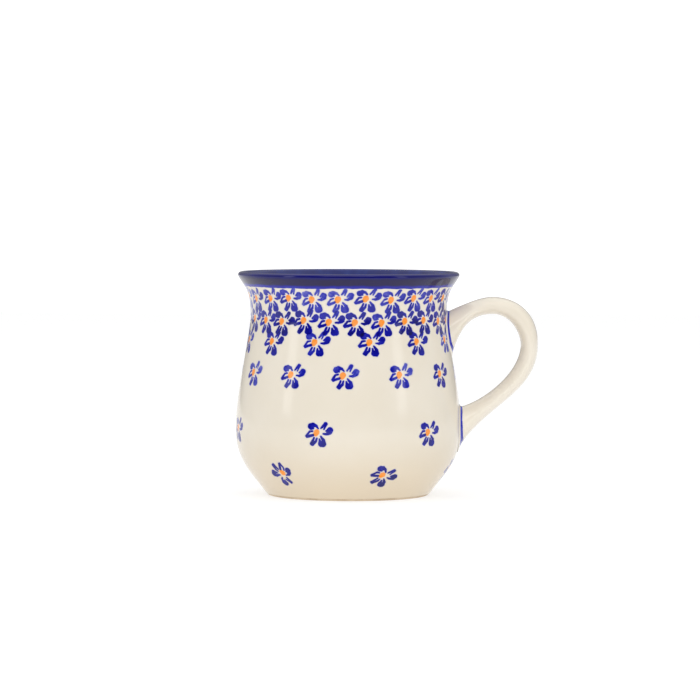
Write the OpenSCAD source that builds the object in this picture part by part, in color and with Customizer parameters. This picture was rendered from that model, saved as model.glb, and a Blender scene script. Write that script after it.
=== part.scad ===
// Stoneware mug with a full belly, a narrow neck, a flared rim and a loop handle.
// The body's axis is Z, the table is the plane z = 0, and the handle points along +X.
// The clay body and the clay handle are cast apart and luted together with slip. Four coats of
// glaze cover them, and only the foot ring stays bare, so that the mug doesn't stick in the kiln.

/* [Body] */
// Height from the table to the top of the rim
mug_h = 90.8; // [75:0.2:110]
// Radius of the finished wall just above the foot
foot_r = 33.2; // [28:0.2:37]
// Largest radius of the belly
belly_r = 45.8; // [40:0.2:56]
// Height of the belly's widest place
belly_h = 26.8; // [22:0.2:32]
// Radius of the neck, the narrowest place under the rim
neck_r = 39.9; // [33:0.1:44]
// Depth of the neck below the top of the rim
neck_drop = 18.2; // [15:0.2:22]
// Largest radius of the rim
rim_r = 45; // [38:0.2:54]
// Thickness of the wall with its glaze, from the belly up to the neck
wall = 3.8; // [3:0.1:4.8]
// Thickness of the round lip with its glaze
lip_t = 2.6; // [2.2:0.1:3.4]
// Height of the inside floor above the table
floor_h = 6; // [5:0.1:7.5]
// How far the flat of the inside floor stops short of the foot's radius
floor_margin = 10.8; // [8.4:0.2:15]

/* [Foot] */
// Height of the rounding between the foot ring and the wall
foot_round = 0.5; // [0.3:0.05:0.7]
// Width of the bare ring that stands on the table
foot_ring_w = 4; // [3:0.1:6]
// Depth of the recess inside the foot ring
foot_recess = 1.6; // [1:0.1:2.2]
// Height of the bare clay above the table
bare_h = 0.9; // [0.9:0.05:2]

/* [Handle] */
// Depth of the handle's highest place below the top of the rim
crown_drop = 10.1; // [8:0.1:14]
// How far the handle's highest place stands out beyond the belly
crown_out = 12.6; // [10:0.1:16]
// How far the handle's outermost place stands out beyond the belly
handle_reach = 31.3; // [28:0.1:40]
// Depth of the outermost place below the highest place
far_drop = 19.3; // [16:0.1:24]
// Thickness of the handle in the plane of the loop
handle_t = 7; // [5.8:0.1:8.4]
// Width of the handle across the plane of the loop
handle_w = 12.4; // [10:0.1:15]
// Depth of the upper joint's middle below the top of the rim
upper_joint_drop = 24.9; // [22:0.1:28]
// Height of the lower joint's middle above the table
lower_joint_h = 27.2; // [24:0.1:30]
// Height of the handle's flared end at each joint
joint_tall = 17.2; // [14:0.1:20.2]
// Width of the handle's flared end at each joint
joint_w = 15; // [12:0.1:18]

/* [Slip and glaze] */
// Thickness of the slip between the body and the handle
slip_t = 0.8; // [0.6:0.05:1.2]
// Thickness of every coat of glaze
glaze_t = 0.3; // [0.2:0.01:0.36]

/* [Hidden] */
$fn = 144;
clay_colour = "linen";
slip_colour = "wheat";
glaze_colour = "oldlace";

// ---- Curves ----
function along(angle) = [cos(angle), sin(angle)];
// A curve that leaves p at one angle and reaches q at another. The pulls set how far it keeps to each.
function curve(p, leave, pull_p, q, reach, pull_q, steps) = let (
        a = p + pull_p * along(leave),
        b = q - pull_q * along(reach)
    ) [for (i = [0 : steps]) let (t = i / steps, s = 1 - t)
        s * s * s * p + 3 * s * s * t * a + 3 * s * t * t * b + t * t * t * q];
function arc(centre, radius, from, to, steps) =
    [for (i = [0 : steps]) centre + radius * along(from + (to - from) * i / steps)];
function without_first(points) = [for (i = [1 : len(points) - 1]) points[i]];
function without_last(points) = [for (i = [0 : len(points) - 2]) points[i]];
function backwards(points) = [for (i = [len(points) - 1 : -1 : 0]) points[i]];
function slice(points, from, to) = [for (i = [from : to]) points[i]];
function normal(points, i) = let (
        ahead = points[min(i + 1, len(points) - 1)],
        behind = points[max(i - 1, 0)],
        v = (ahead - behind) / norm(ahead - behind)
    ) [v[1], -v[0]];
function shifted(points, by) = [for (i = [0 : len(points) - 1]) points[i] + by * normal(points, i)];

// ---- The wall's section, as [radius, height] ----
foot_lean = 57; // angle above the table at which the wall leaves the foot
rim_flare = 60; // the same where it runs into the lip
hip_steps = 14; // from the foot up to the belly
waist_steps = 12; // from the belly up to the neck
flare_steps = 9; // from the neck up to the lip
lip_out_steps = 8;
lip_in_steps = 4;
lip = lip_t / 2;
lip_centre = [rim_r - lip, mug_h - lip];
belly = [belly_r, belly_h];
neck = [neck_r, mug_h - neck_drop];
// The finished outside, from the foot up to the lip
outside = concat(
    curve([foot_r, foot_round], foot_lean, 8.6, belly, 90, 13.8, hip_steps),
    without_first(curve(belly, 90, 15.5, neck, 90, 7, waist_steps)),
    without_first(curve(
        neck, 90, 11, lip_centre + lip * along(rim_flare - 90), rim_flare, 5.5, flare_steps
    ))
);
// The wall gets thinner from the neck up to the lip
function wall_at(i) = wall + (lip_t - wall) * max(i - hip_steps - waist_steps, 0) / flare_steps;
// The finished inside, from the lip down to the middle of the floor
inside_wall = backwards(
    [for (i = [hip_steps : len(outside) - 1]) outside[i] - wall_at(i) * normal(outside, i)]
);
well = curve(
    belly - [wall, 0], -90, belly_h / 2, [foot_r - floor_margin, floor_h], 180, 11, hip_steps
);
inside = concat(without_last(inside_wall), well, [[0, floor_h]]);
lip_out = arc(lip_centre, lip, rim_flare - 90, 90, lip_out_steps);
lip_in = arc(lip_centre, lip, 90, rim_flare + 90, lip_in_steps);
// One line over the whole finished surface, and the clay that lies one coat of glaze under it
skin = concat(without_last(outside), lip_out, without_first(without_last(lip_in)), inside);
clay = shifted(skin, -glaze_t);
crest_index = len(outside) - 1 + lip_out_steps; // the top of the lip in both of those lists
// Outside radius of the finished wall at a height
function wall_r(z) = lookup(z, [for (p = outside) [p[1], p[0]]]);

// ---- Foot ----
foot_edge = clay[0];
corner_r = foot_edge[1] / (1 - cos(foot_lean)); // so that the corner runs on into the wall
ring_out_r = foot_edge[0] - corner_r * sin(foot_lean);
ring_in_r = ring_out_r - foot_ring_w;
recess_r = ring_in_r - foot_recess;
foot_corner = arc([ring_out_r, corner_r], corner_r, -90, foot_lean - 90, 6);

module revolved(outline) {
    rotate_extrude() polygon(outline);
}

// Everything within a surface that stands off the clay's outside by some distance
module clay_core(stand_off) {
    face = shifted(slice(clay, 0, len(outside) - 2), stand_off);
    last = face[len(face) - 1];
    revolved(concat([[0, face[0][1]]], face, [[0, last[1]]]));
}

// ---- Handle loop: two edges in the plane of the loop, with oval sections between them ----
crown_h = mug_h - crown_drop;
far_h = crown_h - far_drop;
upper_joint_h = mug_h - upper_joint_drop;
upper_out_angle = 25; // the angles at which the loop's edges leave the upper joint
upper_in_angle = 71;
lower_out_angle = 242; // and reach the lower joint
lower_in_angle = 195;
lower_root_angle = 212; // flatter than lower_out_angle, so that the run stays within a full belly
root_depth = 6; // how far the loop runs on into the body before it is cut to the wall
upper_steps = 14;
far_steps = 12;
lower_steps = 22;
section_sides = 24;
last_ring = upper_steps + far_steps + lower_steps + 2;
root_rings = 12; // how many rings at each end reach clear of the body

function on_wall(z) = [wall_r(z), z];
// Adds a straight run into the body at both ends of an edge
function rooted(edge, first_angle, last_angle) = concat(
    [edge[0] - root_depth * along(first_angle)], edge,
    [edge[len(edge) - 1] + root_depth * along(last_angle)]
);
upper_joint_top = on_wall(upper_joint_h + joint_tall / 2);
upper_joint_foot = on_wall(upper_joint_h - joint_tall / 2);
lower_joint_top = on_wall(lower_joint_h + joint_tall / 2);
lower_joint_foot = on_wall(lower_joint_h - joint_tall / 2);
crown_top = [belly_r + crown_out, crown_h];
crown_under = crown_top - [0, handle_t];
far_side = [belly_r + handle_reach, far_h];
near_side = far_side - [handle_t, 0];
outer_edge = rooted(concat(
    curve(upper_joint_top, upper_out_angle, 11, crown_top, 0, 4, upper_steps),
    without_first(curve(crown_top, 0, 8.5, far_side, -90, 14.5, far_steps)),
    without_first(curve(far_side, -90, 20, lower_joint_foot, lower_out_angle, 19, lower_steps))
), upper_out_angle, lower_root_angle);
inner_edge = rooted(concat(
    curve(upper_joint_foot, upper_in_angle, 5.6, crown_under, 0, 12, upper_steps),
    without_first(curve(crown_under, 0, 7.7, near_side, -90, 4.2, far_steps)),
    without_first(curve(near_side, -90, 9.2, lower_joint_top, lower_in_angle, 13.5, lower_steps))
), upper_in_angle, lower_in_angle);
// How much of the flare a ring has: all at a joint, none along the loop
function flare(i) = i <= upper_steps + 1
    ? pow(1 - max(i - 1, 0) / upper_steps, 2)
    : pow(max(min(i, last_ring - 1) - 1 - upper_steps - far_steps, 0) / lower_steps, 4);
function ring(i, grow) = let (
        across = (outer_edge[i] - inner_edge[i]) / 2,
        middle = (outer_edge[i] + inner_edge[i]) / 2,
        thick = across * (1 + grow / norm(across)),
        wide = (handle_w + (joint_w - handle_w) * flare(i)) / 2 + grow
    ) [for (j = [0 : section_sides - 1]) let (
        a = 360 * j / section_sides,
        p = middle + cos(a) * thick
    ) [p[0], wide * sin(a), p[1]]];

// The loop from one ring to another, thicker all round by some distance
module loop(from, to, grow) {
    n = section_sides;
    rings = to - from;
    points = [for (i = [from : to]) each ring(i, grow)];
    sides = [for (i = [0 : rings - 1], j = [0 : n - 1]) let (
            a = i * n + j,
            b = i * n + (j + 1) % n
        ) each [[a, b, a + n], [b, b + n, a + n]]];
    near_end = [for (j = [n - 1 : -1 : 0]) j];
    far_end = [for (j = [0 : n - 1]) rings * n + j];
    polyhedron(points, concat(sides, [near_end], [far_end]));
}

module slip_pad(from, to) {
    intersection() {
        loop(from, to, -glaze_t);
        difference() {
            clay_core(slip_t);
            clay_core(0);
        }
    }
}

// Clay vessel: foot ring, floor, wall and lip in one piece
module body() {
    color(clay_colour)
    revolved(concat(
        without_last(foot_corner), clay,
        [[0, foot_recess], [recess_r, foot_recess], [ring_in_r, 0]]
    ));
}

// Clay loop, its ends cut to stand off the wall by the slip
module handle() {
    color(clay_colour)
    difference() {
        loop(0, last_ring, -glaze_t);
        clay_core(slip_t);
    }
}

module upper_slip_joint() {
    color(slip_colour)
    slip_pad(0, root_rings);
}

module lower_slip_joint() {
    color(slip_colour)
    slip_pad(last_ring - root_rings, last_ring);
}

// Dipped coat, from the bare foot to the top of the lip, left open under both joints
module outside_glaze() {
    color(glaze_colour)
    difference() {
        revolved(concat(slice(skin, 0, crest_index), backwards(slice(clay, 0, crest_index))));
        cylinder(h = 2 * bare_h, r = belly_r, center = true);
        loop(0, root_rings, -glaze_t);
        loop(last_ring - root_rings, last_ring, -glaze_t);
    }
}

// Poured coat, from the top of the lip down to the floor
module inside_glaze() {
    color(glaze_colour)
    revolved(concat(
        slice(skin, crest_index, len(skin) - 1), backwards(slice(clay, crest_index, len(clay) - 1))
    ));
}

// Coat round the loop and over the rims of the slip
module handle_glaze() {
    color(glaze_colour)
    difference() {
        loop(0, last_ring, 0);
        loop(0, last_ring, -glaze_t);
        clay_core(glaze_t);
    }
}

// Patch of glaze in the recess, cut off from the rest by the bare ring
module underside_glaze() {
    color(glaze_colour)
    translate([0, 0, foot_recess - glaze_t])
    cylinder(h = glaze_t, r = recess_r);
}

body();
handle();
upper_slip_joint();
lower_slip_joint();
outside_glaze();
inside_glaze();
handle_glaze();
underside_glaze();
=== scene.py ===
# %% [markdown]
# # A hand-stamped stoneware mug
#
# This notebook dresses the CAD model of a glazed mug: a cast clay body, a clay handle joined to it
# with slip, and four coats of glaze. The clay and the slip keep their CAD shapes. The coats are
# what the eye meets, so each of them is rebuilt as a fine mesh with its painted decoration.
# All lengths in the recipes are in millimetres, and only the finished meshes are in metres.

import math
import random

import bmesh
import bpy
import numpy as np
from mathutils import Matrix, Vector


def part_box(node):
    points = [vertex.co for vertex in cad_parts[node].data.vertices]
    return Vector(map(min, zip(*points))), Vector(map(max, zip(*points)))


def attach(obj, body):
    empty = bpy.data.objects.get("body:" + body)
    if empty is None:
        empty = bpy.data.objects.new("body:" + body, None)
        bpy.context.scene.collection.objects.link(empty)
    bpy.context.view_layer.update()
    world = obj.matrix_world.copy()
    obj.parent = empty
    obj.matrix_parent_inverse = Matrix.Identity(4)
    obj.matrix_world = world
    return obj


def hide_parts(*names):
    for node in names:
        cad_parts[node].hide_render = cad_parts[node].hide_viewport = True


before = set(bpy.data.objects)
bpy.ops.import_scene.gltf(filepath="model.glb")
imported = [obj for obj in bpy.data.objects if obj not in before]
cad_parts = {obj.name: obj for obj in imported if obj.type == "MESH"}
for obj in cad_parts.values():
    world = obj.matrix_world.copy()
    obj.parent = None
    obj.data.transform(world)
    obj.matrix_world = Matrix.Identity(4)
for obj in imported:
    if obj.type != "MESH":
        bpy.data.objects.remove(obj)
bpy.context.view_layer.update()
MM = 0.001
rest_low, rest_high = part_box("outside_glaze")
print("CAD nodes:", sorted(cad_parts))
print("outside glaze, mm:", [round(v / MM, 2) for v in (*rest_low, *rest_high)])

# %% [markdown]
# ## The wall's section
#
# A mug body is round, so one line from the foot to the lip and down to the floor says everything
# about it. On the wheel or in the mould that line is a few long curves, so Bezier curves suit it
# better than a list of points: each one is told where it starts, where it ends and which way it
# leaves and arrives. These are the same curves as in the CAD source, only cut into finer steps.

# %% Measures of the body
mug_h = rest_high[2] / MM
belly_r = -rest_low[0] / MM
foot_r, foot_round, foot_lean = 33.2, 0.5, 57
belly_h = 26.8
neck_r, neck_drop = 39.9, 18.2
rim_r, wall, lip_t = 45.0, 3.8, 2.6
floor_h, floor_margin = 6.0, 10.8
bare_h = 0.9
glaze_t = 0.3
print(f"mug {mug_h:.1f} mm high, {2 * belly_r:.1f} mm across the belly")


# %% Curves in the plane of the section
def along(degrees):
    return np.array([math.cos(math.radians(degrees)), math.sin(math.radians(degrees))])


def curve(start, leave, pull_start, end, reach, pull_end, steps):
    """A Bezier curve from start to end, as [radius, height] rows."""
    start, end = np.array(start, float), np.array(end, float)
    a, b = start + pull_start * along(leave), end - pull_end * along(reach)
    t = np.linspace(0, 1, steps + 1)[:, None]
    s = 1 - t
    return s**3 * start + 3 * s * s * t * a + 3 * s * t * t * b + t**3 * end


def arc(centre, radius, start, end, steps):
    return np.array([centre + radius * along(a) for a in np.linspace(start, end, steps + 1)])


def shifted(line, by):
    """The line moved to its right-hand side, which is outwards on a wall drawn upwards."""
    v = np.gradient(line, axis=0)
    v /= np.linalg.norm(v, axis=1)[:, None]
    return line + by * np.c_[v[:, 1], -v[:, 0]]


def lengths(line):
    """Distance along the line to each of its points."""
    return np.r_[0, np.cumsum(np.linalg.norm(np.diff(line, axis=0), axis=1))]


def respaced(line, step):
    """The same line with its points evenly spread, about one step apart."""
    s = lengths(line)
    even = np.linspace(0, s[-1], max(2, round(s[-1] / step) + 1))
    return np.c_[np.interp(even, s, line[:, 0]), np.interp(even, s, line[:, 1])]


# %% The finished outside and inside of the wall
FINE = 12  # finer steps than the CAD section has
belly = np.array([belly_r, belly_h])
neck = np.array([neck_r, mug_h - neck_drop])
lip = lip_t / 2
lip_centre = np.array([rim_r - lip, mug_h - lip])
lip_start = lip_centre + lip * along(-30)
foot_wall = curve([foot_r, foot_round], foot_lean, 8.6, belly, 90, 13.8, 14 * FINE)
upper_wall = np.vstack([
    curve(belly, 90, 15.5, neck, 90, 7, 12 * FINE)[:-1],
    curve(neck, 90, 11, lip_start, 60, 5.5, 9 * FINE),
])
outside_line = np.vstack([
    foot_wall[:-1], upper_wall[:-1], arc(lip_centre, lip, -30, 90, 40)
])
well = curve(
    belly - [wall, 0], -90, belly_h / 2, [foot_r - floor_margin, floor_h], 180, 11, 14 * FINE
)
past_neck = np.clip(np.arange(len(upper_wall)) - 12 * FINE, 0, None) / (9 * FINE)
wall_here = wall + (lip_t - wall) * past_neck
inside_wall = shifted(upper_wall, -wall_here[:, None])
inside_line = np.vstack([
    arc(lip_centre, lip, 90, 150, 20)[:-1], inside_wall[::-1][:-1], well[:-1],
    [[foot_r - floor_margin, floor_h], [0, floor_h]],
])


def wall_r(z):
    """Outside radius of the glazed wall at a height."""
    return np.interp(z, outside_line[:, 1], outside_line[:, 0])


def arc_at(z):
    """Distance up the outside from the foot, followed along the wall."""
    return np.interp(z, outside_line[:, 1], lengths(outside_line))


print(f"outside line {lengths(outside_line)[-1]:.1f} mm, inside {lengths(inside_line)[-1]:.1f} mm")

# %% [markdown]
# ## Meshes from rows of rings
#
# Every coat is a thin closed shell: a visible side, and a hidden side against the clay. Both are
# rows of rings, whether the rings run round the mug or round the handle, so one builder makes all
# of them. It also lays down the texture maps, because it knows which row and column each corner
# belongs to. The alternative, a Screw modifier with a Solidify, would give no say in the maps.


# %% The builder
def rings_mesh(name, rings, maps, strips, sharp=40):
    """A mesh over rings, an array of rows x columns x 3 in mm. strips are the pairs of rows to
    join, and maps gives each texture map's function of (row, column, strip number)."""
    rows, columns = rings.shape[:2]
    col = np.arange(columns)
    low = np.repeat([a for a, _ in strips], columns)
    high = np.repeat([b for _, b in strips], columns)
    left = np.tile(col, len(strips))
    at = np.stack([low, low, high, high], 1)
    to = np.stack([left, left + 1, left + 1, left], 1)
    which = np.repeat(np.arange(len(strips)), columns)[:, None].repeat(4, 1)
    faces = at * columns + to % columns
    mesh = bpy.data.meshes.new(name)
    mesh.from_pydata((rings.reshape(-1, 3) * MM).tolist(), [], faces.tolist())
    for map_name, place in maps.items():
        u, v = place(at.ravel(), to.ravel(), which.ravel())
        layer = mesh.uv_layers.new(name=map_name)
        layer.data.foreach_set("uv", np.stack([u, v], 1).astype(np.float32).ravel())
    close_poles(mesh)
    mesh.shade_smooth()
    mesh.set_sharp_from_angle(angle=math.radians(sharp))
    piece = bpy.data.objects.new(name, mesh)
    bpy.context.scene.collection.objects.link(piece)
    print(f"{name}: {len(mesh.polygons)} faces, maps {[m.name for m in mesh.uv_layers]}")
    return piece


def close_poles(mesh):
    """Welds the points of a ring that has no width into one."""
    work = bmesh.new()
    work.from_mesh(mesh)
    bmesh.ops.remove_doubles(work, verts=work.verts, dist=1e-7)
    bmesh.ops.recalc_face_normals(work, faces=work.faces)
    work.to_mesh(mesh)
    work.free()


# %% [markdown]
# ## The coats on the body
#
# A dipped and poured glaze follows the clay, but never quite evenly: it runs a little, and the
# clay under it was fettled by hand. A few slow waves, a tenth of a millimetre high, keep the
# reflections from being ruler-straight. The same waves move the outside and the inside, so the
# two coats still meet at the lip, and they fade out at the foot, where the mug stands true.

# %% Slow waves in the wall
dice = random.Random(41)
waves = [
    (dice.choice([2, 3, 4, 5]), dice.uniform(-0.09, 0.09), dice.uniform(0, math.tau), 0.12 / 7)
    for _ in range(7)
]


def wavy(angle, z):
    """How far the wall stands out or in at an angle and a height."""
    total = sum(h * np.sin(n * angle + k * z + start) for n, k, start, h in waves)
    return total * np.clip((z - bare_h) / 14, 0, 1)


def revolved(section, columns):
    """Rings round the mug's axis. The first column is at the handle, where the maps are cut."""
    angle = np.linspace(0, math.tau, columns, endpoint=False)[None, :]
    r, z = section[:, :1], section[:, 1:]
    r = np.where(r > 0, np.maximum(r + wavy(angle, z) * np.minimum(1, r / 20), 0), 0)
    return np.stack([r * np.cos(angle), r * np.sin(angle), z + 0 * angle], 2)


# %% [markdown]
# The outside coat starts in a rounded bead a little above the table, where the potter sponged the
# foot clean, and ends on top of the lip. One extra row just before the top lets both coats face
# straight up there, so that their meeting line doesn't show.

# %% Sections of the outside and the inside coat
AROUND = 240
ROW = 0.85  # spacing of the visible rows
clay_line = shifted(outside_line, -glaze_t)


def from_height(line, z):
    """The part of a rising line above a height, starting exactly there."""
    start = [np.interp(z, line[:, 1], line[:, 0]), z]
    return np.vstack([[start], line[line[:, 1] > z + 0.01]])


up_wall, off_clay = along(foot_lean), along(foot_lean - 90)
bead_start = from_height(clay_line, bare_h + 0.05)[0]
bead = np.array([
    bead_start + 0.34 * (1 - along(a)[0]) * up_wall + glaze_t * along(a)[1] * off_clay
    for a in (0, 25, 50, 70, 90)
])
face_out = respaced(from_height(outside_line, bead[-1][1]), ROW)[1:]
crest = outside_line[-1]
near_crest = crest + [0.05, 0]
outside_front = np.vstack([bead, face_out[:-1], [near_crest, crest]])
outside_back = respaced(from_height(clay_line, bare_h + 0.25)[::-1], 4)
outside_section = np.vstack([outside_front, outside_back])

inside_front = np.vstack([[crest, crest - [0.05, 0]], respaced(inside_line, ROW)[1:]])
inside_back = respaced(shifted(inside_line, -glaze_t)[::-1], 4)
inside_back[0, 0] = 0
inside_section = np.vstack([inside_front, inside_back])
print("rows:", len(outside_section), "outside and", len(inside_section), "inside")


# %% [markdown]
# ### Texture maps for the coats
#
# The pattern is laid out on a map called unrolled: once round the mug is 1 across, and 100 mm up
# the wall is 1 upwards. A second map, OFBake, is a sheet laid out for the finished colours. It
# holds the visible side as two half turns, one above the other, so that the small flowers get many
# texels, and it keeps the hidden side in a sliver at the top.


# %% Functions that lay out the maps
UNROLLED_TALL = 100  # mm up the wall that make 1 on the map
EDGE = 0.004  # empty border of the bake sheet
HALF_TALL, HALF_STEP = 0.476, 0.492  # height of each half turn, and from one to the next
SLIVER_LOW, SLIVER_TALL = 0.984, 0.012  # where the hidden side is kept


def unrolled(section):
    s = lengths(section)

    def place(row, column, strip):
        return column / AROUND, s[row] / UNROLLED_TALL

    return place


def bake_sheet(rows, front, columns, by_column=True):
    """The OFBake layout for a shell whose first rows, front of them, are the visible side."""

    def place(row, column, strip):
        seen = strip < front - 1
        along_row = np.clip(row / (front - 1), 0, 1)
        c = column / columns
        if by_column:
            first_corner = column[::4].repeat(4)
            half = (first_corner / columns >= 0.5).astype(float)
            u, v = (c - 0.5 * half) * 2, along_row
        else:
            half = (strip / (front - 1) >= 0.5).astype(float)
            u, v = (along_row - 0.5 * half) * 2, c
        v = EDGE + half * HALF_STEP + v * HALF_TALL
        behind = np.where(strip == rows - 1, rows, row) - (front - 1)
        hidden_v = SLIVER_LOW + SLIVER_TALL * behind / (rows - front + 1)
        return EDGE + (1 - 2 * EDGE) * np.where(seen, u, c), np.where(seen, v, hidden_v)

    return place


def loop_strips(rows):
    """Every row joined to the next, and the last to the first."""
    return [(i, (i + 1) % rows) for i in range(rows)]


# %% The outside coat
outside_coat = rings_mesh(
    "outside_coat",
    revolved(outside_section, AROUND),
    {
        "unrolled": unrolled(outside_section),
        "OFBake": bake_sheet(len(outside_section), len(outside_front), AROUND),
    },
    loop_strips(len(outside_section)),
)

# %% The inside coat
floor_row = len(inside_front) - 1
inside_coat = rings_mesh(
    "inside_coat",
    revolved(inside_section, AROUND),
    {
        "unrolled": unrolled(inside_section),
        "OFBake": bake_sheet(len(inside_section), len(inside_front), AROUND),
    },
    [pair for pair in loop_strips(len(inside_section)) if pair[0] != floor_row],
)

# %% [markdown]
# ### The patch under the foot
#
# The recess under the mug is glazed too, and the wiped foot ring cuts that patch off from the
# rest. It is a thin disc, thicker towards its edge, where the glaze gathered before it set.

# %% The underside coat
patch_low, patch_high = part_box("underside_glaze")
patch_r = patch_high[0] / MM
patch_top, patch_face = patch_high[2] / MM, patch_low[2] / MM
patch_front = np.array([
    [patch_r, patch_top], [patch_r, patch_face + 0.08], [patch_r - 0.12, patch_face],
    [patch_r - 0.6, patch_face - 0.04], [patch_r - 1.6, patch_face + 0.02],
    *[[r, patch_face + 0.05] for r in (24, 20, 16, 12, 8, 4, 1.5)], [0, patch_face + 0.05],
])
patch_section = np.vstack([patch_front, [[0, patch_top], [12, patch_top], [24, patch_top]]])
PATCH_AROUND = 120
patch_angle = np.linspace(0, math.tau, PATCH_AROUND, endpoint=False)
patch_rings = np.stack([
    patch_section[:, :1] * np.cos(patch_angle), patch_section[:, :1] * np.sin(patch_angle),
    patch_section[:, 1:] + 0 * patch_angle,
], 2)
underside_coat = rings_mesh(
    "underside_coat",
    patch_rings,
    {"flat": lambda row, column, strip: (
        0.5 + patch_rings[row, column % PATCH_AROUND, 0] / 80,
        0.5 + patch_rings[row, column % PATCH_AROUND, 1] / 80,
    )},
    [p for p in loop_strips(len(patch_section)) if p[0] != len(patch_front) - 1],
)

# %% [markdown]
# ## The handle's coat
#
# The handle is a loop of clay with an oval section, flared at both ends, luted to the wall. Its
# outline is two edges drawn in the plane of the loop. The rings of the mesh are placed one by one
# at
# the ends: each one keeps a set distance from the wall, so the mesh meets the round body along a
# clean line and can swell into the small fillet that slip and glaze leave there.

# %% Measures of the handle
crown_drop, crown_out, handle_reach, far_drop = 10.1, 12.6, 31.3, 19.3
handle_t, handle_w, joint_w, joint_tall = 7.0, 12.4, 15.0, 17.2
upper_joint_h, lower_joint_h = mug_h - 24.9, 27.2
upper_out_angle, lower_out_angle, lower_root_angle = 25, 242, 212
upper_in_angle, lower_in_angle = 71, 195
root_depth = 6.0
SIDES = 48
LOOP_TALL, JOINT_WIDE = 200, 20  # mm along the loop, and off the wall, that make 1 on the maps


def on_wall(z):
    return np.array([wall_r(z), z])


crown_top = np.array([belly_r + crown_out, mug_h - crown_drop])
crown_under = crown_top - [0, handle_t]
far_side = np.array([belly_r + handle_reach, mug_h - crown_drop - far_drop])
near_side = far_side - [handle_t, 0]
steps = [14 * FINE, 12 * FINE, 22 * FINE]


def rooted(edge, first, last):
    """Adds a straight run into the body at both ends of an edge."""
    run = np.linspace(1, 0, 4 * FINE, endpoint=False)[:, None] * root_depth
    return np.vstack([edge[0] - run * along(first), edge, edge[-1] + run[::-1] * along(last)])


upper_out, upper_in = (on_wall(upper_joint_h + d) for d in (joint_tall / 2, -joint_tall / 2))
lower_out, lower_in = (on_wall(lower_joint_h + d) for d in (-joint_tall / 2, joint_tall / 2))
outer_edge = rooted(np.vstack([
    curve(upper_out, upper_out_angle, 11, crown_top, 0, 4, steps[0])[:-1],
    curve(crown_top, 0, 8.5, far_side, -90, 14.5, steps[1])[:-1],
    curve(far_side, -90, 20, lower_out, lower_out_angle, 19, steps[2]),
]), upper_out_angle, lower_root_angle)
inner_edge = rooted(np.vstack([
    curve(upper_in, upper_in_angle, 5.6, crown_under, 0, 12, steps[0])[:-1],
    curve(crown_under, 0, 7.7, near_side, -90, 4.2, steps[1])[:-1],
    curve(near_side, -90, 9.2, lower_in, lower_in_angle, 13.5, steps[2]),
]), upper_in_angle, lower_in_angle)
print("handle edges with", len(outer_edge), "points, crown at", crown_top.round(1))

# %% The loop's surface on a fine grid
n_fine = len(outer_edge)
ring_no = np.arange(n_fine) - 4 * FINE
upper_flare = np.clip(1 - ring_no / steps[0], 0, 1) ** 2
lower_flare = np.clip((ring_no - steps[0] - steps[1]) / steps[2], 0, 1) ** 4
middle = (outer_edge + inner_edge) / 2
across = (outer_edge - inner_edge) / 2
half_t = np.linalg.norm(across, axis=1)
half_w = (handle_w + (joint_w - handle_w) * (upper_flare + lower_flare)) / 2
loop_s = lengths(middle)


def loop_points(grow):
    """The loop's surface, thicker all round by grow, as rings x sides x 3."""
    a = np.linspace(0, math.tau, SIDES, endpoint=False)
    thick = across * (1 + grow / half_t)[:, None]
    flat = middle[:, None, :] + np.cos(a)[None, :, None] * thick[:, None, :]
    wide = (half_w + grow)[:, None] * np.sin(a)[None, :]
    return np.stack([flat[..., 0], wide, flat[..., 1]], 2)


def off_wall(points):
    """Distance of points from the glazed wall, measured square to it."""
    z = points[..., 2]
    slope = wall_r(z + 0.5) - wall_r(z - 0.5)
    return (np.hypot(points[..., 0], points[..., 1]) - wall_r(z)) / np.hypot(1, slope)


# %% Rings that follow the wall at the joints
fillet = 1.3
ROOT_STEPS = [-0.25, 0.03, 0.1, 0.2, 0.32, 0.46, 0.62, 0.8, 1.0, 1.25, 1.55, 1.9, 2.3, 2.8, 3.4]
MIDDLE_RINGS = 120


def places_along(points):
    """For each side of the section, where along the fine grid its rings lie."""
    d = off_wall(points)
    half = n_fine // 2
    index = np.arange(n_fine)
    first, last = [], []
    for j in range(SIDES):
        up = np.maximum.accumulate(d[:half, j]) + 1e-6 * index[:half]
        down = np.maximum.accumulate(d[half:, j][::-1]) + 1e-6 * index[:n_fine - half]
        first.append(np.interp(ROOT_STEPS, up, index[:half]))
        last.append(np.interp(ROOT_STEPS, down, index[half:][::-1]))
    first, last = np.array(first).T, np.array(last).T[::-1]
    share = np.linspace(0, 1, MIDDLE_RINGS + 2)[1:-1, None]
    return np.vstack([first, first[-1] * (1 - share) + last[0] * share, last])


def picked(grid, place):
    """Values of a fine grid, rings x sides (x 3), at fractional places along each side."""
    low = np.clip(place.astype(int), 0, n_fine - 2)
    part = place - low
    j = np.arange(SIDES)[None, :]
    if grid.ndim == 3:
        part = part[..., None]
    return grid[low, j] * (1 - part) + grid[low + 1, j] * part


bare_loop = loop_points(0)
place = places_along(bare_loop)
handle_rings = picked(bare_loop, place)
from_wall = picked(off_wall(bare_loop), place)
ring_s = np.interp(place, np.arange(n_fine), loop_s)
outwards = picked(loop_points(1.0) - bare_loop, place)
gap = np.clip(from_wall, 0, fillet)
swell = fillet - np.sqrt(fillet**2 - (fillet - gap) ** 2)
side_a = np.linspace(0, math.tau, SIDES, endpoint=False)[None, :]
uneven = 0.09 * np.sin(ring_s / 9.5 + 0.7) * np.cos(2 * side_a + ring_s / 31)
uneven += 0.07 * np.sin(ring_s / 5.3 + 2.1 + side_a)
uneven *= np.clip(from_wall / 6, 0, 1)
handle_front = handle_rings + outwards * (swell + uneven)[..., None]
handle_back = picked(loop_points(-glaze_t), place)[::-4]
handle_grid = np.vstack([handle_front, handle_back])
print(f"handle loop {loop_s[-1]:.0f} mm with its roots, {len(handle_front)} visible rings")

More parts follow.
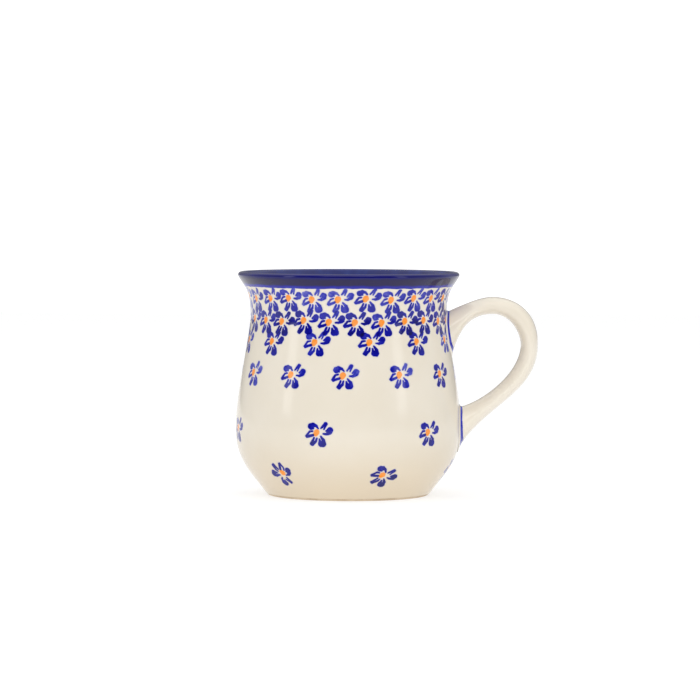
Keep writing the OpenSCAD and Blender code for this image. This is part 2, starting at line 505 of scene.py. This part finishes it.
# %% The handle coat
n_front = len(handle_front)
all_s = np.vstack([ring_s, ring_s[::-4]])
all_gap = np.vstack([from_wall, from_wall[::-4]])


def loop_map(row, column, strip):
    """Across: once round the section. Upwards: 200 mm along the loop."""
    return column / SIDES, all_s[row, column % SIDES] / LOOP_TALL


def joint_map(row, column, strip):
    """Across: 20 mm from the wall. Upwards: once round the section."""
    away = np.clip(all_gap[row, column % SIDES] / JOINT_WIDE, 0, 1)
    return away, column / SIDES


handle_coat = rings_mesh(
    "handle_coat",
    handle_grid,
    {
        "loop": loop_map,
        "joint": joint_map,
        "OFBake": bake_sheet(len(handle_grid), n_front, SIDES, by_column=False),
    },
    loop_strips(len(handle_grid)),
)

# %% [markdown]
# ## Sums for the finishes
#
# A finish is a graph of shader nodes, and long sums are hard to read as boxes and links. Here a
# small class stands for one socket, so that a sum is written as a sum, and the nodes behind it
# are added as Python works it out.


# %% A socket that can be reckoned with
class Wire:
    """One output in a finish. Numbers go through Math nodes, vectors through Vector Math."""

    def __init__(self, finish, socket):
        self.finish, self.socket = finish, socket

    def is_vector(self):
        return self.socket.type in ("VECTOR", "RGBA")

    def sum_with(self, operation, first, second):
        kinds = [w.is_vector() for w in (first, second) if isinstance(w, Wire)]
        kind = "ShaderNodeVectorMath" if any(kinds) else "ShaderNodeMath"
        return self.finish.node(kind, {"operation": operation}, {0: first, 1: second})

    def __add__(self, other):
        return self.sum_with("ADD", self, other)

    def __radd__(self, other):
        return self.sum_with("ADD", other, self)

    def __sub__(self, other):
        return self.sum_with("SUBTRACT", self, other)

    def __rsub__(self, other):
        return self.sum_with("SUBTRACT", other, self)

    def __mul__(self, other):
        return self.sum_with("MULTIPLY", self, other)

    def __rmul__(self, other):
        return self.sum_with("MULTIPLY", other, self)

    def __truediv__(self, other):
        return self.sum_with("DIVIDE", self, other)

    def __gt__(self, other):
        return self.sum_with("GREATER_THAN", self, other)

    def __lt__(self, other):
        return self.sum_with("LESS_THAN", self, other)

    def math(self, operation, *others):
        """Any other Math node, such as ROUND, with this value first."""
        inputs = dict(enumerate((self, *others)))
        return self.finish.node("ShaderNodeMath", {"operation": operation}, inputs)

    def part(self, index):
        """x, y or z of a vector."""
        return self.finish.node("ShaderNodeSeparateXYZ", {}, {0: self}, index)


class Finish:
    """A material under construction, or the world, which has nodes too."""

    def __init__(self, owner):
        self.owner = bpy.data.materials.new(owner) if isinstance(owner, str) else owner
        self.owner.use_nodes = True
        self.tree = self.owner.node_tree
        self.tree.nodes.clear()

    def node(self, kind, settings=None, inputs=None, output=0):
        """Adds a node: its type, its settings, and the values or wires of its sockets."""
        box = self.tree.nodes.new(kind)
        for name, value in (settings or {}).items():
            setattr(box, name, value)
        for name, value in (inputs or {}).items():
            socket = box.inputs[name]
            if isinstance(value, Wire):
                self.tree.links.new(value.socket, socket)
            elif socket.type == "RGBA" and len(value) == 3:
                socket.default_value = (*value, 1)
            elif hasattr(socket.default_value, "__len__") and np.isscalar(value):
                socket.default_value = [value] * len(socket.default_value)
            else:
                socket.default_value = value
        return Wire(self, box.outputs[output])

    def blend(self, amount, first, second):
        """From the first colour to the second."""
        inputs = {"Factor": amount, 6: first, 7: second}
        return self.node("ShaderNodeMix", {"data_type": "RGBA"}, inputs, 2)

    def tint(self, first, second):
        """Two colours one over the other, as two panes of glass."""
        settings = {"data_type": "RGBA", "blend_type": "MULTIPLY"}
        return self.node("ShaderNodeMix", settings, {"Factor": 1.0, 6: first, 7: second}, 2)

    def ease(self, value, start, end, low=0.0, high=1.0):
        """Runs smoothly from low to high as the value goes from start to end."""
        inputs = {0: value, 1: start, 2: end, 3: low, 4: high}
        return self.node("ShaderNodeMapRange", {"interpolation_type": "SMOOTHSTEP"}, inputs)

    def noise(self, where, scale, detail=2.0, rough=0.5, output=0):
        inputs = {"Vector": where, "Scale": scale, "Detail": detail, "Roughness": rough}
        return self.node("ShaderNodeTexNoise", {}, inputs, output)

    def surface(self, **sockets):
        """The shader and the output. What varies is wired, and constants sit on the sockets."""
        inputs = {name.replace("_", " "): value for name, value in sockets.items()}
        shader = self.node("ShaderNodeBsdfPrincipled", {}, inputs)
        end = self.tree.nodes.new("ShaderNodeOutputMaterial")
        self.tree.links.new(shader.socket, end.inputs["Surface"])
        return self.owner


def srgb(red, green, blue):
    """A colour as a paint chart gives it, 0 to 255, turned into light."""
    channels = [c / 255 for c in (red, green, blue)]
    return tuple(c / 12.92 if c <= 0.04045 else ((c + 0.055) / 1.055) ** 2.4 for c in channels)


# %% [markdown]
# ## Bare clay and slip
#
# Fired stoneware clay is a warm buff with fine sand in it, dull and slightly rough. Only the foot
# ring shows it. The slip that joins the handle is the same clay without the sand.


# %% Clay and slip finishes
def clay_finish(name, colour, dark, grit):
    made = Finish(name)
    where = made.node("ShaderNodeTexCoord", output=3)
    cloud = made.noise(where, 90, 4, 0.6)
    sand = made.noise(where, 2600, 2, 0.6)
    specks = made.ease(sand, 0.66, 0.72)
    body = made.blend(made.ease(cloud, 0.35, 0.68), colour, dark)
    body = made.blend(specks * grit, body, srgb(120, 88, 62))
    grain = made.noise(where, 1500, 3, 0.7)
    bump = made.node("ShaderNodeBump", {}, {"Strength": 0.35, "Distance": 0.0001, "Height": grain})
    rough = 0.72 + 0.16 * cloud
    return made.surface(Base_Color=body, Roughness=rough, Normal=bump)


clay = clay_finish("bare stoneware", srgb(214, 196, 170), srgb(196, 174, 146), 0.8)
slip = clay_finish("joining slip", srgb(220, 203, 178), srgb(206, 186, 158), 0.2)
bare_nodes = {
    "body": clay, "handle": clay, "upper_slip_joint": slip, "lower_slip_joint": slip,
}
for node, made in bare_nodes.items():
    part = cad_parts[node]
    for held in part.material_slots or [None]:
        if held is None:
            part.data.materials.append(made)
        else:
            held.material = made
print("clay and slip on", len(bare_nodes), "CAD nodes")

# %% [markdown]
# ## The glaze itself
#
# The clear glaze over buff clay reads as a warm cream, with a few brown iron specks and slow
# clouds of thickness. Low down the cream turns darker and tanner: partly where the glaze runs thin
# near the foot, and partly painted shade on the lower wall. All four coats share this ground, so
# it is a function that returns the colour, and the coats only differ in what is painted into it.

# %% Cream ground with iron specks
CREAM = srgb(234, 226, 211)
DEEP_CREAM = srgb(231, 222, 205)
# darker, tanner cream low down: partly thin glaze, partly painted shade
THIN_GLAZE_AND_SHADE = srgb(222, 205, 178)
IRON = srgb(150, 104, 66)


def cream_ground(made, where):
    cloud = made.noise(where, 38, 3, 0.55)
    body = made.blend(made.ease(cloud, 0.3, 0.72), CREAM, DEEP_CREAM)
    # painted shade, with some thin glaze: the lowest 30 mm turn darker and tanner, where the wall
    # faces down, away from the light
    thin_glaze_and_shade = made.ease(where.part(2), 0.030, 0.002)
    body = made.blend(thin_glaze_and_shade * 0.8, body, THIN_GLAZE_AND_SHADE)
    cell = made.node(
        "ShaderNodeTexVoronoi", {"feature": "F1"}, {"Vector": where, "Scale": 260, "Randomness": 1}
    )
    luck = made.node("ShaderNodeTexVoronoi", {}, {"Vector": where, "Scale": 260}, 1).part(0)
    size = made.ease(luck, 0.9, 1.0, 0.0, 0.045)
    speck = made.ease(size - cell, 0.0, 0.02) * (luck > 0.9)
    return made.blend(speck * 0.75, body, IRON)


def glaze_relief(made, where, extra=None):
    """Slow ripples and fine orange-peel of a fired glaze, and its changing gloss."""
    ripple = made.noise(where, 95, 2, 0.5)
    peel = made.noise(where, 700, 2, 0.5)
    height = ripple * 0.05 + peel * 0.06
    if extra is not None:
        height = height + extra
    inputs = {"Strength": 0.12, "Distance": 0.0006, "Height": height}
    bump = made.node("ShaderNodeBump", {}, inputs)
    gloss = made.ease(made.noise(where, 60, 2, 0.5), 0.3, 0.7, 0.07, 0.13)
    return bump, gloss


# %% [markdown]
# ## The stamped flowers
#
# Each flower is one press of a small cut sponge: six petals, and each petal is two to four
# strokes that leave a light slit between them. A stroke is drawn as a tapered rod, and the
# shader asks how far each spot of the glaze is from the nearest rod. Then a dab of orange goes
# in the middle. Cobalt is a stain, so where two prints overlap the blue gets deeper.

# %% Strokes of one flower
# each stroke: start x, y, thickness, then end x, y, thickness
STROKES = [
    # upper left, a round lobe with two arms
    (-3.05, 2.70, 1.28, -2.30, 3.20, 0.95), (-2.30, 3.25, 0.90, -0.90, 3.05, 0.50),
    (-0.90, 3.05, 0.50, -0.10, 2.05, 0.26), (-3.00, 2.50, 0.95, -2.10, 2.00, 0.35),
    # upper right, two thin legs
    (2.80, 4.10, 0.62, 1.10, 2.20, 0.28), (3.15, 4.10, 0.50, 2.90, 3.10, 0.32),
    (2.90, 3.10, 0.32, 2.30, 1.90, 0.25),
    # right
    (4.80, 1.60, 1.15, 4.70, 0.80, 0.90), (4.65, 0.60, 0.78, 3.30, -0.05, 0.48),
    (3.30, -0.05, 0.48, 2.10, 0.05, 0.25), (4.50, 2.00, 0.75, 3.25, 1.20, 0.32),
    # lower right, the largest
    (1.35, -4.00, 1.15, 2.15, -3.95, 1.20), (2.35, -3.60, 0.95, 2.35, -2.60, 0.62),
    (2.35, -2.60, 0.62, 1.20, -1.10, 0.28), (0.95, -3.80, 0.75, 0.70, -2.20, 0.30),
    # lower left
    (-2.75, -4.25, 0.48, -1.55, -1.80, 0.34), (-2.20, -4.45, 0.60, -0.80, -3.10, 0.46),
    (-0.80, -3.10, 0.46, -0.45, -1.95, 0.28),
    # left
    (-4.85, -1.20, 0.38, -3.50, 0.65, 0.36), (-3.50, 0.65, 0.36, -2.40, 0.85, 0.30),
    (-4.50, -1.45, 0.50, -2.10, -0.75, 0.48),
]
DAB = (-0.62, 0.45, 1.25, -0.95, -0.15, 1.05)


def rod_distance(made, spot, stroke):
    """Distance from a spot to a tapered rod, less than zero inside it."""
    x0, y0, t0, x1, y1, t1 = stroke
    run = np.array([x1 - x0, y1 - y0, 0])
    vector_math = "ShaderNodeVectorMath"
    ahead = spot - (x0, y0, 0)
    settings = {"operation": "DOT_PRODUCT"}
    share = made.node(vector_math, settings, {0: ahead, 1: tuple(run / run.dot(run))}, 1)
    share = made.node("ShaderNodeClamp", {}, {0: share})
    nearest = made.node(vector_math, {"operation": "SCALE"}, {0: tuple(run), 3: share})
    away = made.node(vector_math, {"operation": "DISTANCE"}, {0: ahead, 1: nearest}, 1)
    return away.math("SUBTRACT", share.math("MULTIPLY_ADD", t1 - t0, t0))


def flower(made, spot):
    """Distance from the petals' edge, and from the orange dab's edge."""
    petals = None
    for stroke in STROKES:
        d = rod_distance(made, spot, stroke)
        petals = d if petals is None else petals.math("MINIMUM", d)
    return petals, rod_distance(made, spot, DAB)


# %% [markdown]
# ### Rows of flowers
#
# The stamper works in rows round the mug: two close rows of 24 under the rim, a row of 12 that
# hangs from them in points, 12 more on the shoulder, and two loose rows of 6. Prints wander a
# little. Rows 1, 3 and 5 are worked out together, rows 2, 4 and 6 together, and in each set the
# odd and the even prints apart, because a shader spot can then see two prints that overlap.

# %% The six rows
# each row: prints, angle of one of them from the front, height, turn of even and odd prints,
# and depth of its cobalt
ROWS = [
    (24, -4.8, 80.4, 0, 0, 1.6), (24, -10.4, 71.4, 0, 0, 2.1), (12, -18.0, 63.3, 0, 0, 1.5),
    (12, -1.6, 50.0, 0, 0, 1.6), (6, -15.4, 27.4, 0, 0, 1.8), (6, 20.4, 10.7, -18, -110, 1.7),
]
row_arcs = [float(arc_at(row[2])) for row in ROWS]
print("rows sit", [round(a, 1) for a in row_arcs], "mm up the wall")


def stepped(values, steps_down):
    """One of three values, by how many of the steps down have been passed."""
    first, second, third = values
    passed_one, passed_two = steps_down
    return first + passed_one * (second - first) + passed_two * (third - second)


def prints(made, turn, up, radius, wander, rows, odd):
    """Blue strength and orange strength of every other print in three rows."""
    arcs = [row_arcs[i] for i in rows]
    counts = [ROWS[i][0] for i in rows]
    starts = [(ROWS[i][1] - 90) / 360 * ROWS[i][0] for i in rows]
    tilts = [math.radians(ROWS[i][3 + odd]) for i in rows]
    steps_down = [up < (arcs[0] + arcs[1]) / 2, up < (arcs[1] + arcs[2]) / 2]
    count = stepped(counts, steps_down)
    place_round = turn * count - stepped(starts, steps_down)
    number = 2 * ((place_round - odd) * 0.5).math("ROUND") + odd
    across_mm = (place_round - number) * radius * math.tau / count
    up_mm = up - stepped(arcs, steps_down)
    kept_number = number.math("FLOORED_MODULO", count)
    label = made.node("ShaderNodeCombineXYZ", {}, {
        0: kept_number + 0.5, 1: steps_down[0] + steps_down[1] + 10.5 * (rows[0] + 1), 2: 3.5,
    })
    luck = made.node("ShaderNodeTexWhiteNoise", {"noise_dimensions": "3D"}, {0: label}, 1)
    luck_x, luck_y, luck_turn = (luck.part(i) - 0.5 for i in range(3))
    spot = made.node("ShaderNodeCombineXYZ", {}, {0: across_mm, 1: up_mm})
    spot = spot + made.node("ShaderNodeCombineXYZ", {}, {0: luck_x * 0.9, 1: luck_y * 0.9})
    spot = made.node(
        "ShaderNodeVectorRotate", {"rotation_type": "Z_AXIS"},
        {"Vector": spot, "Angle": luck_turn * 0.2 - stepped(tilts, steps_down)},
    )
    spot = spot + wander
    petals, dab = flower(made, spot)
    slope = spot.part(1) * -0.06 + spot.part(0) * (luck_y * 0.16)
    depth = stepped([ROWS[i][5] for i in rows], steps_down)
    strength = depth + luck_turn * 1.4 + slope
    stain = made.ease(petals, 0.19, -0.11) * strength + made.ease(petals, 0.9, 0.0) * 0.05
    return stain, made.ease(dab, 0.14, -0.1)


# %% [markdown]
# ## The decorated outside
#
# The rim is banded with a loaded brush while the mug turns, so the band has streaks along it, a
# lighter wet edge below and a purplish heart where the stain is thick. Under the glaze the stains
# act as filters over the cream: the strength of every layer is added up, and the cobalt filter is
# raised to that power.

# %% Stains
COBALT = (0.046, 0.060, 0.67)
ORANGE = srgb(254, 144, 10)
BAND_EDGE = arc_at(84.85)


def decorated_finish():
    made = Finish("decorated glaze")
    here = made.node("ShaderNodeTexCoord", output=3)
    sheet = made.node("ShaderNodeUVMap", {"uv_map": "unrolled"})
    turn, up = sheet.part(0), sheet.part(1) * UNROLLED_TALL
    flat = here * (1 / MM, 1 / MM, 0)
    radius = made.node("ShaderNodeVectorMath", {"operation": "LENGTH"}, {0: flat}, 1)
    ragged = (made.noise(here, 900, 1, 0.5, 1) - 0.5) * (0.34, 0.34, 0)
    blotch = made.noise(here, 420, 3, 0.6)
    ground = cream_ground(made, here)
    blue = orange = None
    for rows in ((0, 2, 4), (1, 3, 5)):
        for odd in (0, 1):
            stain, dab = prints(made, turn, up, radius, ragged, rows, odd)
            blue = stain if blue is None else blue + stain
            orange = dab if orange is None else orange.math("MAXIMUM", dab)
    blue = blue * made.ease(blotch, 0.3, 0.7, 0.72, 1.35)
    # the rim band
    round_it = made.node(
        "ShaderNodeMapping", {"vector_type": "POINT"}, {"Vector": here, "Scale": (1, 1, 14)}
    )
    streaks = made.noise(round_it, 60, 3, 0.55)
    edge = made.noise(here, 170, 2, 0.5) * 1.1 + BAND_EDGE - 0.55
    band = made.ease(up - edge, -0.12, 0.2)
    thick = 1.5 + (streaks - 0.5) * 1.6 + made.ease(up - edge, 0.7, 2.0) * 2.6
    heart = made.ease(up - edge, 0.9, 2.0) * made.ease(up - edge, 5.4, 3.8)
    thick = thick + heart * 1.4
    blue = blue * (1 - band) + band * thick
    filtered = made.node("ShaderNodeGamma", {}, {0: (*COBALT, 1), 1: blue})
    cover = orange * (1 - band) * made.ease(blotch, 0.3, 0.6, 1.0, 0.88)
    painted = made.blend(cover, ground, ORANGE)
    colour = made.tint(painted, filtered)
    colour = made.blend(band * heart * 0.3, colour, srgb(44, 24, 50))
    bump, gloss = glaze_relief(made, here, blue * -0.02)
    return made.surface(Base_Color=colour, Roughness=gloss, Normal=bump, IOR=1.47)


decorated = decorated_finish()
print("decorated glaze:", len(decorated.node_tree.nodes), "nodes")


# %% [markdown]
# ## The plain coats
#
# Inside, the cream is plain below a navy band that the same brush left on the lip. The handle
# has a thin cobalt line round each joint and three light touches along its spine. The patch under
# the foot is plain cream.


# %% Inside finish
def inside_finish():
    made = Finish("inside glaze")
    here = made.node("ShaderNodeTexCoord", output=3)
    depth = made.node("ShaderNodeUVMap", {"uv_map": "unrolled"}).part(1) * UNROLLED_TALL
    ground = cream_ground(made, here)
    edge = made.noise(here, 120, 2, 0.5) * 1.6 + 5.4
    band = made.ease(edge - depth, -0.2, 0.25)
    streaks = made.noise(here, 150, 3, 0.55)
    strength = band * (1.7 + (streaks - 0.5) * 1.4)
    filtered = made.node("ShaderNodeGamma", {}, {0: (0.028, 0.080, 0.42, 1), 1: strength})
    bump, gloss = glaze_relief(made, here)
    colour = made.tint(ground, filtered)
    return made.surface(Base_Color=colour, Roughness=gloss, Normal=bump, IOR=1.47)


# %% Handle finish
# each touch: place along the loop in mm, half length, half width
SPINE = [(21.0, 3.2, 0.5), (47.5, 2.4, 0.5), (92.0, 2.0, 0.4)]
SECTION_ROUND = 31  # mm once round the handle


def handle_finish():
    made = Finish("handle glaze")
    here = made.node("ShaderNodeTexCoord", output=3)
    loop = made.node("ShaderNodeUVMap", {"uv_map": "loop"})
    joint = made.node("ShaderNodeUVMap", {"uv_map": "joint"})
    gap_mm = joint.part(0) * JOINT_WIDE
    side, far = loop.part(0), loop.part(1) * LOOP_TALL
    ground = cream_ground(made, here)
    wander = made.noise(here, 140, 2, 0.5)
    line_at = 0.75 + (wander - 0.5) * 0.5
    off_line = (gap_mm - line_at).math("ABSOLUTE")
    width = made.ease(made.noise(here, 90, 2, 0.5), 0.3, 0.7, 0.3, 0.5)
    blue = made.ease(off_line - width, 0.12, -0.1) * (1.2 + (wander - 0.5) * 1.2)
    from_spine = side.math("PINGPONG", 0.5) * SECTION_ROUND
    for at_mm, half_long, half_wide in SPINE:
        reach = ((far - at_mm) / half_long).math("ABSOLUTE")
        wide = (from_spine / half_wide).math("ABSOLUTE")
        blot = (reach * reach + wide * wide).math("SQRT")
        blue = blue + made.ease(blot, 1.15, 0.6) * 0.55
    filtered = made.node("ShaderNodeGamma", {}, {0: (*COBALT, 1), 1: blue})
    bump, gloss = glaze_relief(made, here)
    colour = made.tint(ground, filtered)
    return made.surface(Base_Color=colour, Roughness=gloss, Normal=bump, IOR=1.6)


# %% Underside finish
def underside_finish():
    made = Finish("underside glaze")
    here = made.node("ShaderNodeTexCoord", output=3)
    bump, gloss = glaze_relief(made, here)
    colour = cream_ground(made, here)
    return made.surface(Base_Color=colour, Roughness=gloss, Normal=bump, IOR=1.47)


# %% Finishes and frame for the coats
for piece, made, node, slot in (
    (outside_coat, decorated, "outside_glaze", "decorated_glaze"),
    (inside_coat, inside_finish(), "inside_glaze", "inside_glaze"),
    (handle_coat, handle_finish(), "handle_glaze", "handle_glaze"),
    (underside_coat, underside_finish(), "underside_glaze", "underside_glaze"),
):
    piece.data.materials.append(made)
    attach(piece, "root")
    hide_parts(node)
    print(f"{piece.name} stands for {node}")

# %% [markdown]
# ## The studio
#
# The mug stands on white paper before a lit sheet. A broad fill in front, hidden from the gloss,
# shows the colours evenly. Two tall soft lights at the sides draw the two upright bands of gloss,
# one overhead lifts the rim, and a narrow strip draws a thin line of light along the handle only.

# %% Floor and light
WHITE, GREY = (1, 1, 1, 1), (0.4, 0.4, 0.4, 1)


def lit_sheet(name, finish_name, corners, glow):
    """A flat sheet of matt paper that gives off some light."""
    mesh = bpy.data.meshes.new(name)
    mesh.from_pydata(corners, [], [(0, 1, 2, 3)])
    sheet = bpy.data.objects.new(name, mesh)
    bpy.context.scene.collection.objects.link(sheet)
    mesh.materials.append(Finish(finish_name).surface(
        Base_Color=GREY, Roughness=0.9, Emission_Color=WHITE, Emission_Strength=glow,
    ))
    return sheet


flat = [(-3, -3, 0), (3, -3, 0), (3, 3, 0), (-3, 3, 0)]
floor = lit_sheet("floor", "white paper", flat, 0.66)
upright = [(-3, 2, 0), (3, 2, 0), (3, 2, 2), (-3, 2, 2)]
back_sheet = lit_sheet("back sheet", "lit paper", upright, 0.85)
back_sheet.visible_glossy = back_sheet.visible_diffuse = False
print("floor and back sheet", floor.dimensions.x, "m wide")

# %% The room, dark in front of the mug and bright behind it
world = bpy.data.worlds.new("studio")
bpy.context.scene.world = world
world.use_nodes = True
sky = Finish(world)
way = sky.node("ShaderNodeTexCoord")
aside = way.part(0).math("ABSOLUTE")
behind = sky.ease(way.part(1), -0.75, 0.05, 0.12, 1.0)
behind = behind * sky.ease(way.part(1), 0.6, 0.95, 1.0, 0.3)
brightness = behind * sky.ease(aside, 0.35, 0.95, 1.0, 0.56)
brightness = brightness + sky.ease(way.part(2), 0.45, 0.85, 0.0, 0.3)
backdrop = sky.node("ShaderNodeBackground", {}, {0: (1, 1, 1), 1: brightness})
sky.tree.links.new(backdrop.socket, sky.tree.nodes.new("ShaderNodeOutputWorld").inputs[0])
print("room:", len(sky.tree.nodes), "nodes")


# %% Lamps
MUG_MIDDLE = (0, 0, 0.055)


def softbox(name, place_at, wide, tall, power):
    light = bpy.data.lights.new(name, "AREA")
    light.shape, light.size, light.size_y, light.energy = "RECTANGLE", wide, tall, power
    lamp = bpy.data.objects.new(name, light)
    lamp.location = place_at
    bpy.context.scene.collection.objects.link(lamp)
    point_at(lamp, MUG_MIDDLE)
    return lamp


def point_at(thing, aim):
    """Turns a light or a camera so that it looks at a place."""
    way = Vector(aim) - Vector(thing.location)
    thing.rotation_euler = way.to_track_quat("-Z", "Y").to_euler()


softbox("left softbox", (-1.15, -0.52, 0.5), 0.25, 0.7, 1.0)
softbox("right softbox", (1.0, -0.66, 0.5), 0.25, 0.7, 0.9)
softbox("overhead softbox", (0, -0.8, 1.3), 1.2, 0.8, 2.6)
fill = softbox("front fill", (0, -1.8, 0.5), 1.6, 1.2, 13.2)
fill.visible_glossy = False
strip = softbox("strip light", (0.05, -1.15, 0.72), 0.8, 0.06, 1.2)
lit = bpy.data.collections.new("lit by the strip")
lit.objects.link(handle_coat)
strip.light_linking.receiver_collection = lit

# %% The camera
camera = bpy.data.objects.new("camera", bpy.data.cameras.new("camera"))
camera.data.lens, camera.data.sensor_width = 189.8, 36
camera.location = (0.0006, -1.5, 0.1294)
point_at(camera, (0.0006, 0, 0.0589))
camera.rotation_euler.rotate_axis("Z", math.radians(0.2))
bpy.context.scene.collection.objects.link(camera)
bpy.context.scene.camera = camera
bpy.context.scene.view_settings.view_transform = "Standard"
print("camera 1.5 m in front, looking slightly down")
